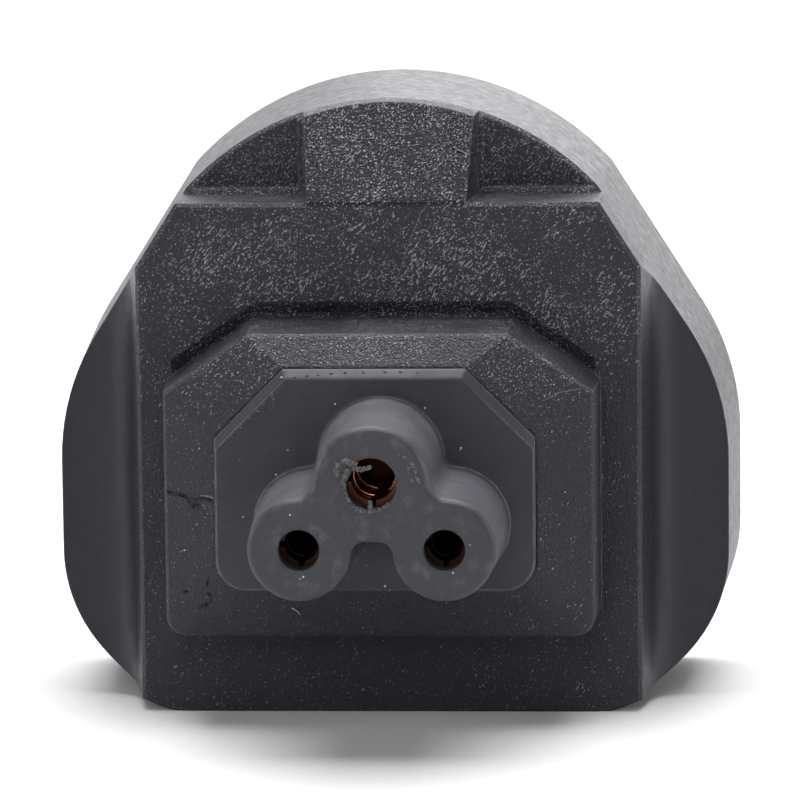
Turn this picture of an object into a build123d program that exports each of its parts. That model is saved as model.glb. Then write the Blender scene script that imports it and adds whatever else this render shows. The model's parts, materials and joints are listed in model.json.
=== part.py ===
from build123d import *
from math import atan2, cos, degrees, radians, sin, sqrt, tan
import os

os.makedirs("parts", exist_ok=True)

# Frame, in millimetres: the origin lies on the pin face, midway between the line and neutral pins.
# +X is to the right seen from the outlet, +Y points along the pins, +Z points up to the earth pin.
# A "level" is a distance in front of the pin face, towards the outlet, so it lies at Y = -level.

# Plug outline, measured at the front edge of the slab
foot_drop = 12.0
body_half_width = 24.5
arch_radius = 20.5
arch_centre_z = 11.7
shoulder_half_width = 15.0
shoulder_slope = 57.5
side_radius = 17.5
corner_radius = 11.4
corner_cut = 0.45
slab_depth = 14.75
slab_draft = 0.9
edge_bevel = 0.3
edge_slope = 45.0

# Box, rib and scoops in front of the slab
box_rise = 6.0
box_top_z = 25.2
box_half_width = 18.2
box_draft = 1.0
box_edge_bevel = 0.25
box_flare = 0.45
box_root_bevel = 0.5
rib_half_width = 6.4
rib_tip_rise = 1.5
rib_draft = 6.0
rib_root_bevel = 0.4
scoop_valley_x = 21.8
scoop_valley_rise = 0.2
scoop_lip_rise = 0.7
scoop_flank_slope = 12.0

# Collar with its sloping face, and the groove above it
collar_half_width = 15.3
collar_top_half = 9.25
collar_top_z = 16.4
collar_shoulder_z = 12.25
collar_bottom_z = -5.3
collar_corner = 1.4
collar_rise = 6.0
collar_draft = 3.0
collar_bevel = 0.2
facet_rise = 1.4
groove_width = 1.6
groove_depth = 0.5
groove_slope = 60.0
collar_centre_x = -0.35

# Outlet block and its three-lobed nose
block_centre_x = -0.5
block_half_width = 11.35
block_top_half = 6.45
block_top_z = 14.15
block_shoulder_z = 9.25
block_bottom_z = -1.65
block_corner = 2.2
block_proud = 0.85
block_top_bevel = 0.6
block_edge_bevel = 0.12
flange_width = 1.2
flange_thick = 2.5
nose_length = 11.0
nose_draft = 2.5
nose_bevel = 0.3
outlet_z = 3.2
outlet_pitch = 10.0
earth_hole_rise = 4.6
lobe_radius = 3.55
earth_lobe_radius = 3.96
web_z = 0.56
web_half_width = 2.5
web_top_z = 3.0
valley_round = 0.8
web_round = 0.5
hole_radius = 1.435
earth_hole_radius = 1.8
guard_depth = 2.0

# Contacts behind the outlet holes
contact_radius = 1.7
contact_bore = 1.2
earth_contact_radius = 2.1
earth_contact_bore = 1.55
contact_play = 0.2
contact_setback = 0.6
contact_bore_depth = 10.0
contact_slit = 0.4
contact_slit_depth = 8.0
shank_radius = 1.2
tip_radius = 0.8
locator_thick = 2.0

# Plug pins
pin_pitch = 22.23
earth_pin_rise = 22.23
pin_wide = 6.35
pin_thick = 4.0
pin_length = 17.7
earth_pin_wide = 4.0
earth_pin_tall = 7.95
earth_pin_length = 22.7
pin_tip = 1.0
sleeve_length = 9.5
sleeve_wall = 0.6
pin_head_lip = 1.1
pin_head_thick = 2.0
post_radius = 1.6
spigot_radius = 1.0
spigot_head_radius = 1.4
spigot_head_thick = 0.5
spigot_head_room = 0.15

# Pin bridge, its cover and the straps
bridge_half_width = 17.5
bridge_top_half = 7.5
bridge_top_z = 29.2
bridge_shoulder_z = 18.0
bridge_bottom_z = -6.0
bridge_corner = 3.0
bridge_floor = 4.0
bridge_wall = 1.5
bridge_step = 1.2
bridge_lip = 3.0
cover_thick = 1.2
boss_half_width = 9.0
boss_top_z = 12.5
boss_bottom_z = -0.5
boss_corner = 2.0
boss_depth = 4.8
strap_thick = 0.5
strap_room = 0.5
strap_half_width = 1.5
neutral_run_top_z = -1.2
neutral_run_bottom_z = -3.4
load_run_top_z = 8.0

# Fuse and its carrier
fuse_z = 10.2
fuse_level = 6.2
fuse_radius = 3.175
fuse_half_length = 12.7
cap_length = 6.5
cap_wall = 0.35
tube_radius = 2.8
tube_bore = 2.0
wire_radius = 0.2
carrier_face_thick = 1.8
carrier_half_length = 6.0
carrier_wall = 1.4
carrier_mouth = 2.6
carrier_reach = 8.6
carrier_notch_half = 3.0
carrier_notch_wide = 1.2
carrier_notch_deep = 0.6
chute_wall = 1.0
chute_end_room = 0.5
clip_front_level = 3.5

# Clearances
seat_gap = 0.05
slide_gap = 0.3
clip_gap = 0.15

# Levels and places that follow from the sizes
box_level = slab_depth + box_rise
collar_level = box_level + collar_rise
box_lean = (box_rise + edge_bevel - box_edge_bevel) * tan(radians(box_draft))
slab_taper = degrees(atan2(slab_draft, slab_depth - edge_bevel))
scoop_valley_y = -slab_depth - scoop_valley_rise
scoop_slope = radians(scoop_flank_slope)
scoop_run = scoop_valley_x - box_half_width
scoop_drop = box_level - box_edge_bevel + scoop_valley_y
scoop_radius = (scoop_run - scoop_drop * tan(scoop_slope)) * cos(scoop_slope) / (1 - sin(scoop_slope))
scoop_reach_x = body_half_width + 2 * slab_draft
flank_end = (scoop_valley_x - scoop_radius * cos(scoop_slope),
             scoop_valley_y - scoop_radius * (1 - sin(scoop_slope)))
mouth_level = collar_level + facet_rise
block_level = mouth_level + block_proud
nose_level = block_level + nose_length
foot_z = -foot_drop
arch_top_z = arch_centre_z + arch_radius
strap_level = fuse_level + fuse_radius + strap_room
strap_front_level = strap_level + strap_thick
bridge_depth = strap_front_level + spigot_head_thick + spigot_head_room
cover_level = bridge_depth + cover_thick
boss_level = cover_level + boss_depth
locator_level = boss_level + locator_thick
outlet_x = outlet_pitch / 2
earth_outlet_z = outlet_z + earth_hole_rise
pin_x = pin_pitch / 2
carrier_half_height = tube_radius + seat_gap + carrier_wall
chute_half_height = carrier_half_height + slide_gap
chute_half_width = fuse_half_length + chute_end_room

# Contacts from left to right, seen from the outlet: line, earth, neutral
contact_sizes = {
    "line_contact": (-outlet_x, outlet_z, contact_radius, contact_bore),
    "earth_contact": (0.0, earth_outlet_z, earth_contact_radius, earth_contact_bore),
    "neutral_contact": (outlet_x, outlet_z, contact_radius, contact_bore),
}
outlet_holes = (
    (-outlet_x, outlet_z, hole_radius, contact_radius),
    (0.0, earth_outlet_z, earth_hole_radius, earth_contact_radius),
    (outlet_x, outlet_z, hole_radius, contact_radius),
)


def finish(builder, name):
    """Label a finished piece and write it to its own file."""
    builder.part.label = name
    export_step(builder.part, f"parts/{name}.step")


def body_outline(grow):
    """The arched outline, larger all round by grow. The foot is cut flat afterwards."""
    slope = radians(shoulder_slope)
    across = Vector(sin(slope), cos(slope))
    along = Vector(-cos(slope), sin(slope))
    arch_centre = Vector(0, arch_centre_z)
    shoulder = Vector(shoulder_half_width,
                      arch_centre_z + sqrt(arch_radius**2 - shoulder_half_width**2))
    side_line = across.dot(shoulder)
    side_x = body_half_width - side_radius
    side_centre = Vector(side_x, (side_line - side_radius - across.X * side_x) / across.Y)
    reach = side_line + grow - across.dot(arch_centre)
    rise = sqrt((arch_radius + grow)**2 - reach**2)
    shoulder_point = arch_centre + across * reach + along * rise
    side_point = side_centre + across * (side_radius + grow)
    corner_centre = Vector(body_half_width - corner_radius, foot_z + corner_radius - corner_cut)
    half_width = body_half_width + grow
    lowest_z = corner_centre.Y - corner_radius - grow
    with BuildSketch() as outline:
        with BuildLine():
            Line(shoulder_point, side_point)
            RadiusArc(side_point, (half_width, side_centre.Y), side_radius + grow)
            Line((half_width, side_centre.Y), (half_width, corner_centre.Y))
            RadiusArc((half_width, corner_centre.Y), (corner_centre.X, lowest_z), corner_radius + grow)
            mirror(about=Plane.YZ)
            RadiusArc((-shoulder_point.X, shoulder_point.Y), shoulder_point, arch_radius + grow)
            Line((corner_centre.X, lowest_z), (-corner_centre.X, lowest_z))
        make_face()
    return outline.sketch


def shouldered_outline(centre_x, half_width, top_half, top_z, shoulder_z, bottom_z, corner, grow):
    """A flat top, two cut upper corners and two rounded lower ones, larger all round by grow."""
    with BuildSketch() as outline:
        with BuildLine():
            Polyline((0, bottom_z), (half_width, bottom_z), (half_width, shoulder_z),
                     (top_half, top_z), (0, top_z))
            mirror(about=Plane.YZ)
        make_face()
        if grow != 0:
            offset(amount=grow, kind=Kind.INTERSECTION)
        foot_corners = outline.vertices().group_by(Axis.Y)[0].filter_by(lambda v: abs(v.X) > top_half)
        fillet(foot_corners, radius=corner + grow)
    return Pos(centre_x, 0) * outline.sketch


def collar_outline(grow):
    """The outline of the collar's front edge."""
    return shouldered_outline(collar_centre_x, collar_half_width, collar_top_half, collar_top_z,
                              collar_shoulder_z, collar_bottom_z, collar_corner, grow)


def block_outline(grow):
    """The outline of the outlet block."""
    return shouldered_outline(block_centre_x, block_half_width, block_top_half, block_top_z,
                              block_shoulder_z, block_bottom_z, block_corner, grow)


def bridge_outline(grow):
    """The outline of the pin bridge, with its upper corners cut to clear the arch."""
    return shouldered_outline(0, bridge_half_width, bridge_top_half, bridge_top_z,
                              bridge_shoulder_z, bridge_bottom_z, bridge_corner, grow)


def boss_outline(grow):
    """The outline of the cover's boss and of the contact locator, with its corners cut."""
    with BuildSketch() as outline:
        with Locations((0, (boss_top_z + boss_bottom_z) / 2)):
            Rectangle(2 * (boss_half_width + grow), boss_top_z - boss_bottom_z + 2 * grow)
        chamfer(outline.vertices(), length=boss_corner)
    return outline.sketch


def clover_outline(grow):
    """Three lobes, larger all round by grow, joined by a web with rounded valleys."""
    with BuildSketch() as outline:
        with Locations((-outlet_x, 0), (outlet_x, 0)):
            Circle(lobe_radius + grow)
        with Locations((0, earth_hole_rise)):
            Circle(earth_lobe_radius + grow)
        with Locations((0, web_z - grow)):
            Rectangle(2 * web_half_width, web_top_z - web_z + grow, align=(Align.CENTER, Align.MIN))
        valleys = outline.vertices().group_by(Axis.Y)
        fillet(valleys[0], radius=web_round)
        fillet(outline.vertices().group_by(Axis.Y)[-1], radius=valley_round)
    return outline.sketch


# The overmould: a drafted slab with the box, rib, scoops and collar on its front
with BuildPart() as overmould:
    with BuildSketch(Plane.XZ):
        add(body_outline(slab_draft))
    extrude(amount=slab_depth - edge_bevel, taper=slab_taper)
    with BuildSketch(Plane.XZ.offset(slab_depth - edge_bevel)):
        add(body_outline(0))
    extrude(amount=edge_bevel, taper=edge_slope)

    # The box, with a bevel round its root and another round its front
    for low, high, lean, grow, spread in (
            (slab_depth - edge_bevel, box_level - box_edge_bevel, box_draft, 0, 0),
            (slab_depth, slab_depth + box_root_bevel, edge_slope, -edge_bevel, box_root_bevel),
            (box_level - box_edge_bevel, box_level, edge_slope, -box_lean, -box_lean)):
        with BuildSketch(Plane.XZ.offset(low)):
            add(body_outline(grow))
            with Locations((0, box_top_z + spread)):
                Rectangle(3 * body_half_width, arch_radius, align=(Align.CENTER, Align.MIN),
                          mode=Mode.SUBTRACT)
        extrude(amount=high - low, taper=lean)

    # The rib climbs from the arched edge to the top of the box, on a bevelled root of its own
    for low, high, lean, grow, spread in (
            (slab_depth - edge_bevel, box_level, rib_draft, 0, 0),
            (slab_depth, slab_depth + rib_root_bevel, edge_slope, -edge_bevel, rib_root_bevel)):
        with BuildSketch(Plane.XZ.offset(low)):
            add(body_outline(grow))
            with Locations((0, box_top_z - rib_half_width)):
                Rectangle(2 * (rib_half_width + spread), arch_radius,
                          align=(Align.CENTER, Align.MIN), mode=Mode.INTERSECT)
        extrude(amount=high - low, taper=lean)
    with BuildSketch(Plane.YZ):
        with BuildLine():
            Polyline((-box_level, box_top_z), (-slab_depth - rib_tip_rise, arch_top_z),
                     (-slab_depth - rib_tip_rise, arch_top_z + 1), (-box_level - 1, arch_top_z + 1),
                     (-box_level - 1, box_top_z), close=True)
        make_face()
    extrude(amount=rib_half_width + 1, both=True, mode=Mode.SUBTRACT)

    # A finger scoop runs down each side of the box, which widens a little towards the foot
    with BuildPart(Plane.XY.offset(box_top_z).rotated((0, -box_flare, 0)), mode=Mode.PRIVATE) as scoop:
        with BuildSketch():
            with BuildLine():
                bevel = Line((box_half_width - box_edge_bevel, -box_level),
                             (box_half_width, -box_level + box_edge_bevel))
                flank = Line(bevel @ 1, flank_end)
                valley = TangentArc(flank @ 1, (scoop_valley_x, scoop_valley_y), tangent=flank % 1)
                lip = TangentArc(valley @ 1, (scoop_reach_x, scoop_valley_y - scoop_lip_rise),
                                 tangent=(1, 0))
                Polyline(lip @ 1, (scoop_reach_x, -box_level - 1),
                         (box_half_width - box_edge_bevel, -box_level - 1), bevel @ 0)
            make_face()
        extrude(amount=2 * body_half_width, both=True)
    add(scoop.part, mode=Mode.SUBTRACT)
    add(scoop.part.mirror(Plane.YZ), mode=Mode.SUBTRACT)

    # The groove shows above the collar, which covers the rest of the sunken field
    with BuildSketch(Plane.XZ.offset(box_level)):
        with Locations((0, groove_width)):
            add(collar_outline(0))
    extrude(amount=-groove_depth, taper=groove_slope, mode=Mode.SUBTRACT)
    with BuildSketch(Plane.XZ.offset(box_level - groove_depth)):
        add(collar_outline((collar_rise + groove_depth - collar_bevel) * tan(radians(collar_draft))))
    extrude(amount=collar_rise + groove_depth - collar_bevel, taper=collar_draft)
    with BuildSketch(Plane.XZ.offset(collar_level - collar_bevel)):
        add(collar_outline(0))
    extrude(amount=collar_bevel, taper=edge_slope)
    loft(sections=(Plane.XZ.offset(collar_level) * collar_outline(-collar_bevel),
                   Plane.XZ.offset(mouth_level) * block_outline(seat_gap)), ruled=True)

    # The flat foot
    with BuildSketch(Plane.XY.offset(foot_z)):
        Rectangle(4 * body_half_width, 4 * box_level)
    extrude(amount=-corner_radius, mode=Mode.SUBTRACT)

    # Seats for the outlet block, the locator, the boss and the bridge
    for low, high, seat in (
            (0, bridge_lip, bridge_outline(seat_gap - bridge_step)),
            (bridge_lip - seat_gap, cover_level + seat_gap, bridge_outline(seat_gap)),
            (cover_level, locator_level + seat_gap, boss_outline(seat_gap)),
            (locator_level, locator_level + flange_thick + seat_gap, block_outline(flange_width + seat_gap)),
            (locator_level + flange_thick, mouth_level, block_outline(seat_gap))):
        with BuildSketch(Plane.XZ.offset(low)):
            add(seat)
        extrude(amount=high - low, mode=Mode.SUBTRACT)
finish(overmould, "overmould")

# The outlet block with its locking flange and the three-lobed nose
with BuildPart() as outlet_insert:
    with BuildSketch(Plane.XZ.offset(locator_level)):
        add(block_outline(flange_width))
    extrude(amount=flange_thick)
    with BuildSketch(Plane.XZ.offset(locator_level + flange_thick)):
        add(block_outline(0))
    extrude(amount=block_level - locator_level - flange_thick)
    block_rim = outlet_insert.faces().sort_by(Axis.Y)[0].edges()
    chamfer(block_rim.filter_by(lambda e: e.center().Z > block_shoulder_z), length=block_top_bevel)
    block_rim = outlet_insert.faces().sort_by(Axis.Y)[0].edges()
    chamfer(block_rim.filter_by(lambda e: e.center().Z < block_shoulder_z - block_top_bevel),
            length=block_edge_bevel)
    with BuildSketch(Plane.XZ.offset(block_level)):
        with Locations((0, outlet_z)):
            add(clover_outline(nose_length * tan(radians(nose_draft))))
    extrude(amount=nose_length, taper=nose_draft)
    chamfer(outlet_insert.faces().sort_by(Axis.Y)[0].edges(), length=nose_bevel)
    for x, z, opening, contact in outlet_holes:
        with BuildSketch(Plane.XZ.offset(nose_level - guard_depth)):
            with Locations((x, z)):
                Circle(opening)
        extrude(amount=guard_depth, mode=Mode.SUBTRACT)
        with BuildSketch(Plane.XZ.offset(locator_level)):
            with Locations((x, z)):
                Circle(contact + contact_play)
        extrude(amount=nose_level - guard_depth - locator_level, mode=Mode.SUBTRACT)
finish(outlet_insert, "outlet_insert")

# Split tubular contacts, each with a shank that runs back to its strap
contact_front = nose_level - guard_depth - contact_setback
for name, (x, z, radius, bore) in contact_sizes.items():
    with BuildPart() as contact:
        for low, high, size in ((locator_level, contact_front, radius),
                                (strap_front_level, locator_level, shank_radius),
                                (strap_level, strap_front_level, tip_radius)):
            with BuildSketch(Plane.XZ.offset(low)):
                with Locations((x, z)):
                    Circle(size)
            extrude(amount=high - low)
        with BuildSketch(Plane.XZ.offset(contact_front - contact_bore_depth)):
            with Locations((x, z)):
                Circle(bore)
        extrude(amount=contact_bore_depth, mode=Mode.SUBTRACT)
        with BuildSketch(Plane.XZ.offset(contact_front - contact_slit_depth)):
            with Locations((x, z)):
                Rectangle(contact_slit, 2 * radius + 1)
                Rectangle(2 * radius + 1, contact_slit)
        extrude(amount=contact_slit_depth, mode=Mode.SUBTRACT)
    finish(contact, name)

# The locator plate closes the back of the block and centres the contact shanks
with BuildPart() as contact_locator:
    with BuildSketch(Plane.XZ.offset(boss_level)):
        add(boss_outline(0))
        with Locations([(x, z) for x, z, opening, radius in outlet_holes]):
            Circle(shank_radius + seat_gap, mode=Mode.SUBTRACT)
    extrude(amount=locator_thick)
finish(contact_locator, "contact_locator")

# The cover closes the bridge, and its boss carries the locator and the block
with BuildPart() as bridge_cover:
    with BuildSketch(Plane.XZ.offset(bridge_depth)):
        add(bridge_outline(0))
    extrude(amount=cover_thick)
    with BuildSketch(Plane.XZ.offset(cover_level)):
        add(boss_outline(0))
    extrude(amount=boss_depth)
    with BuildSketch(Plane.XZ.offset(bridge_depth)):
        for x, z, opening, radius in outlet_holes:
            with Locations((x, z)):
                Circle(shank_radius + seat_gap)
    extrude(amount=cover_thick + boss_depth, mode=Mode.SUBTRACT)
finish(bridge_cover, "bridge_cover")

# The pin bridge: a stepped tray with pin slots in its floor and a chute for the fuse carrier
with BuildPart() as pin_bridge:
    with BuildSketch(Plane.XZ):
        add(bridge_outline(-bridge_step))
    extrude(amount=bridge_lip)
    with BuildSketch(Plane.XZ.offset(bridge_lip)):
        add(bridge_outline(0))
    extrude(amount=bridge_depth - bridge_lip)
    with BuildSketch(Plane.XZ.offset(bridge_floor)):
        add(bridge_outline(-bridge_wall))
    extrude(amount=bridge_depth - bridge_floor, mode=Mode.SUBTRACT)
    with BuildSketch(Plane.XZ.offset(bridge_floor)):
        with Locations((0, fuse_z)):
            Rectangle(2 * (chute_half_width + chute_wall), 2 * (chute_half_height + chute_wall))
    extrude(amount=strap_level - bridge_floor)
    with BuildSketch(Plane.XZ):
        with Locations((0, fuse_z)):
            Rectangle(2 * chute_half_width, 2 * chute_half_height)
        with Locations((-pin_x, 0), (pin_x, 0)):
            Rectangle(pin_wide + 2 * seat_gap, pin_thick + 2 * seat_gap)
        with Locations((0, earth_pin_rise)):
            Rectangle(earth_pin_wide + 2 * seat_gap, earth_pin_tall + 2 * seat_gap)
    extrude(amount=strap_level, mode=Mode.SUBTRACT)
finish(pin_bridge, "pin_bridge")

# Plug pins: a headed blade, a post and a riveted spigot that holds the strap
pin_sizes = {
    "line_pin": (pin_x, 0, pin_wide, pin_thick, pin_length),
    "neutral_pin": (-pin_x, 0, pin_wide, pin_thick, pin_length),
    "earth_pin": (0, earth_pin_rise, earth_pin_wide, earth_pin_tall, earth_pin_length),
}
for name, (x, z, wide, tall, length) in pin_sizes.items():
    with BuildPart() as pin:
        with BuildSketch(Plane.XZ.offset(-length)):
            with Locations((x, z)):
                Rectangle(wide, tall)
        extrude(amount=length + bridge_floor)
        chamfer(pin.faces().sort_by(Axis.Y)[-1].edges(), length=pin_tip)
        with BuildSketch(Plane.XZ.offset(bridge_floor)):
            with Locations((x, z)):
                Rectangle(wide + 2 * pin_head_lip, tall + 2 * pin_head_lip)
        extrude(amount=pin_head_thick)
        for low, high, size in ((bridge_floor + pin_head_thick, strap_level, post_radius),
                                (strap_level, strap_front_level, spigot_radius),
                                (strap_front_level, strap_front_level + spigot_head_thick,
                                 spigot_head_radius)):
            with BuildSketch(Plane.XZ.offset(low)):
                with Locations((x, z)):
                    Circle(size)
            extrude(amount=high - low)
        if name != "earth_pin":
            with BuildSketch(Plane.XZ.offset(-sleeve_length)):
                with Locations((x, z)):
                    Rectangle(wide + 1, tall + 1)
                    Rectangle(wide - 2 * sleeve_wall, tall - 2 * sleeve_wall, mode=Mode.SUBTRACT)
            extrude(amount=sleeve_length, mode=Mode.SUBTRACT)
    finish(pin, name)

# Insulating sleeves fill the waists of the line and neutral pins
for name, x in (("line_pin_sleeve", pin_x), ("neutral_pin_sleeve", -pin_x)):
    with BuildPart() as sleeve:
        with BuildSketch(Plane.XZ.offset(-sleeve_length)):
            with Locations((x, 0)):
                Rectangle(pin_wide, pin_thick)
                Rectangle(pin_wide - 2 * sleeve_wall, pin_thick - 2 * sleeve_wall, mode=Mode.SUBTRACT)
        extrude(amount=sleeve_length)
    finish(sleeve, name)


def strap_piece(plates, pin_hole, contact_hole):
    """A flat strap from overlapping plates (left, right, low, high), with its holes."""
    with BuildPart() as strap:
        with BuildSketch(Plane.XZ.offset(strap_level)):
            for left, right, low, high in plates:
                with Locations(((left + right) / 2, (low + high) / 2)):
                    Rectangle(right - left, high - low)
            if pin_hole:
                with Locations(pin_hole):
                    Circle(spigot_radius + seat_gap, mode=Mode.SUBTRACT)
            if contact_hole:
                with Locations(contact_hole):
                    Circle(tip_radius + seat_gap, mode=Mode.SUBTRACT)
        extrude(amount=strap_thick)
    return strap.part


# Earth strap, straight down behind the fuse
earth_plates = ((-strap_half_width, strap_half_width,
                 earth_outlet_z - strap_half_width, earth_pin_rise + strap_half_width),)
with BuildPart() as earth_strap:
    add(strap_piece(earth_plates, (0, earth_pin_rise), (0, earth_outlet_z)))
finish(earth_strap, "earth_strap")

# Neutral strap, under the line contact and up to its own
neutral_plates = (
    (-pin_x - strap_half_width, -pin_x + strap_half_width, neutral_run_bottom_z, strap_half_width),
    (-pin_x - strap_half_width, outlet_x + strap_half_width, neutral_run_bottom_z, neutral_run_top_z),
    (outlet_x - strap_half_width, outlet_x + strap_half_width, neutral_run_bottom_z,
     outlet_z + strap_half_width),
)
with BuildPart() as neutral_strap:
    add(strap_piece(neutral_plates, (-pin_x, 0), (outlet_x, outlet_z)))
finish(neutral_strap, "neutral_strap")

# Fuse clips: a pair of jaws on a back plate that stands on the chute's walls
plate_low_z = fuse_z - chute_half_height - chute_wall
plate_high_z = fuse_z + chute_half_height + chute_wall
line_plates = ((pin_x - strap_half_width, pin_x + strap_half_width, -strap_half_width, plate_high_z),)
load_plates = (
    (-pin_x - strap_half_width, -pin_x + strap_half_width, plate_low_z, plate_high_z),
    (-pin_x - strap_half_width, -outlet_x + strap_half_width,
     load_run_top_z - 2 * strap_half_width, load_run_top_z),
    (-outlet_x - strap_half_width, -outlet_x + strap_half_width, outlet_z - strap_half_width,
     load_run_top_z),
)
for name, x, plates, pin_hole, contact_hole in (
        ("line_fuse_clip", pin_x, line_plates, (pin_x, 0), None),
        ("load_fuse_clip", -pin_x, load_plates, None, (-outlet_x, outlet_z))):
    with BuildPart() as clip:
        add(strap_piece(plates, pin_hole, contact_hole))
        with BuildSketch(Plane.XZ.offset(clip_front_level)):
            jaw_z = fuse_radius + clip_gap + strap_thick / 2
            with Locations((x, fuse_z - jaw_z), (x, fuse_z + jaw_z)):
                Rectangle(2 * strap_half_width, strap_thick)
        extrude(amount=strap_level - clip_front_level)
    finish(clip, name)

# The cartridge fuse: tube, two caps and the wire between them
with BuildPart() as fuse_tube:
    with BuildSketch(Plane.YZ):
        with Locations((-fuse_level, fuse_z)):
            Circle(tube_radius)
            Circle(tube_bore, mode=Mode.SUBTRACT)
    extrude(amount=fuse_half_length - cap_wall, both=True)
finish(fuse_tube, "fuse_tube")

with BuildPart() as fuse_wire:
    with BuildSketch(Plane.YZ):
        with Locations((-fuse_level, fuse_z)):
            Circle(wire_radius)
    extrude(amount=fuse_half_length - cap_wall, both=True)
finish(fuse_wire, "fuse_wire")

for name, side in (("fuse_cap_line", 1), ("fuse_cap_load", -1)):
    with BuildPart() as cap:
        with BuildSketch(Plane.YZ.offset(side * fuse_half_length)):
            with Locations((-fuse_level, fuse_z)):
                Circle(fuse_radius)
        extrude(amount=-side * cap_length)
        with BuildSketch(Plane.YZ.offset(side * (fuse_half_length - cap_length))):
            with Locations((-fuse_level, fuse_z)):
                Circle(tube_radius + seat_gap)
        extrude(amount=side * (cap_length - cap_wall), mode=Mode.SUBTRACT)
    finish(cap, name)

# The fuse carrier: a face plate with a snap-in cradle behind it
with BuildPart() as fuse_carrier:
    with BuildSketch(Plane.XZ):
        with Locations((0, fuse_z)):
            Rectangle(2 * (chute_half_width - slide_gap), 2 * carrier_half_height)
    extrude(amount=carrier_face_thick)
    with BuildSketch(Plane.XZ.offset(carrier_face_thick)):
        with Locations((0, fuse_z)):
            Rectangle(2 * carrier_half_length, 2 * carrier_half_height)
    extrude(amount=carrier_reach - carrier_face_thick)
    with BuildSketch(Plane.YZ):
        with Locations((-fuse_level, fuse_z)):
            Circle(tube_radius + seat_gap)
        with Locations((-fuse_level, fuse_z)):
            Rectangle(carrier_reach, 2 * carrier_mouth, align=(Align.MAX, Align.CENTER))
    extrude(amount=carrier_half_length, both=True, mode=Mode.SUBTRACT)
    with BuildSketch(Plane.XZ):
        with Locations((0, fuse_z)):
            Rectangle(2 * carrier_notch_half, carrier_notch_wide)
    extrude(amount=carrier_notch_deep, mode=Mode.SUBTRACT)
finish(fuse_carrier, "fuse_carrier")
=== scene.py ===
# %% [markdown]
# # A moulded plug adapter
#
# The adapter is two pieces of dark grey plastic shot round brass and copper. The construction
# model already holds every real shape, so this lesson gives each piece its finish, adds the small
# things that a mould and a hand leave behind, and lights it on a pale floor.

# %% Load the frame
import json
import math

import bpy
from mathutils import Matrix, Vector

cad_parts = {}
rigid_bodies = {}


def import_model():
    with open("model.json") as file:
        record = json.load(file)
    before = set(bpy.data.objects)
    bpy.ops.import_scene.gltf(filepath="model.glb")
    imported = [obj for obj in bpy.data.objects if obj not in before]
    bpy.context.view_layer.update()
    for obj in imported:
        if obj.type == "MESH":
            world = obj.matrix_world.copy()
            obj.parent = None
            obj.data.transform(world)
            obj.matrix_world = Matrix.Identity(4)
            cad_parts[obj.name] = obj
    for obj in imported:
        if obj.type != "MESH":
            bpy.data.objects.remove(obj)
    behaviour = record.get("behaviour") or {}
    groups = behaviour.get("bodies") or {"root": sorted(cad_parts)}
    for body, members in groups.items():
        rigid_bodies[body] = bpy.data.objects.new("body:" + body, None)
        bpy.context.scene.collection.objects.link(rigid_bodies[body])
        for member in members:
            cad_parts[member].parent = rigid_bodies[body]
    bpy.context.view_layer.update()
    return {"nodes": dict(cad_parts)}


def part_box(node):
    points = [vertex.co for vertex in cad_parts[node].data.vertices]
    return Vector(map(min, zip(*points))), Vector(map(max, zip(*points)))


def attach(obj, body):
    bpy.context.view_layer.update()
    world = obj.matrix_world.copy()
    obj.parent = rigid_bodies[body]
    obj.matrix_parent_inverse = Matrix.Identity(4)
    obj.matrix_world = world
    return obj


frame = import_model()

MM = 0.001
nodes = frame["nodes"]
print("pieces in the frame:", len(nodes))

# %% [markdown]
# ## The camera
#
# A photograph taken from far away with a long lens keeps the sides of a small object nearly
# parallel. Here the lens stands 36 cm from the middle of the adapter, a little to the right of it
# and a little above it, and it is turned by half a degree, as a hand-held camera is. The camera
# could be aimed with a constraint, but its tilt is easier to state with the three directions of the
# camera, which make up its matrix.

# %% Camera
FRAME_PIXELS = 800
FOCAL_PIXELS = 5000
SENSOR = 36.0
TARGET = Vector((0.80, -20.0, 10.74)) * MM
DISTANCE = 360.8 * MM
TO_THE_RIGHT = math.radians(3.67)
ABOVE = math.radians(8.16)
ROLL = math.radians(-0.63)

look = Vector((-math.sin(TO_THE_RIGHT) * math.cos(ABOVE),
               math.cos(TO_THE_RIGHT) * math.cos(ABOVE), -math.sin(ABOVE)))
level_right = Vector((math.cos(TO_THE_RIGHT), math.sin(TO_THE_RIGHT), 0))
level_up = level_right.cross(look)
right = math.cos(ROLL) * level_right + math.sin(ROLL) * level_up
up = -math.sin(ROLL) * level_right + math.cos(ROLL) * level_up

camera_data = bpy.data.cameras.new("camera")
camera_data.sensor_width = SENSOR
camera_data.lens = SENSOR * FOCAL_PIXELS / FRAME_PIXELS
camera_data.clip_start = 0.01
camera = bpy.data.objects.new("camera", camera_data)
bpy.context.scene.collection.objects.link(camera)
turn = Matrix((right, up, -look)).transposed().to_4x4()
camera.matrix_world = Matrix.Translation(TARGET - look * DISTANCE) @ turn
bpy.context.scene.camera = camera
print("lens:", round(camera_data.lens), "mm")

# %% [markdown]
# ## The floor
#
# The adapter stands on its foot on a wide pale floor. The floor lies exactly at the foot, which is
# read from the construction model, so it stays right if the foot changes.

# %% Floor
FLOOR_SIZE = 12
FOOT_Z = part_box("overmould")[0].z


def deselect_all():
    """Nothing is selected, so the next operator works on the new piece alone."""
    for each in bpy.context.view_layer.objects:
        each.select_set(False)


deselect_all()
bpy.ops.mesh.primitive_plane_add(size=FLOOR_SIZE, location=(0, 0, FOOT_Z))
floor = bpy.context.object
floor.name = "floor"
print("floor at", round(FOOT_Z / MM, 2), "mm")

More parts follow.
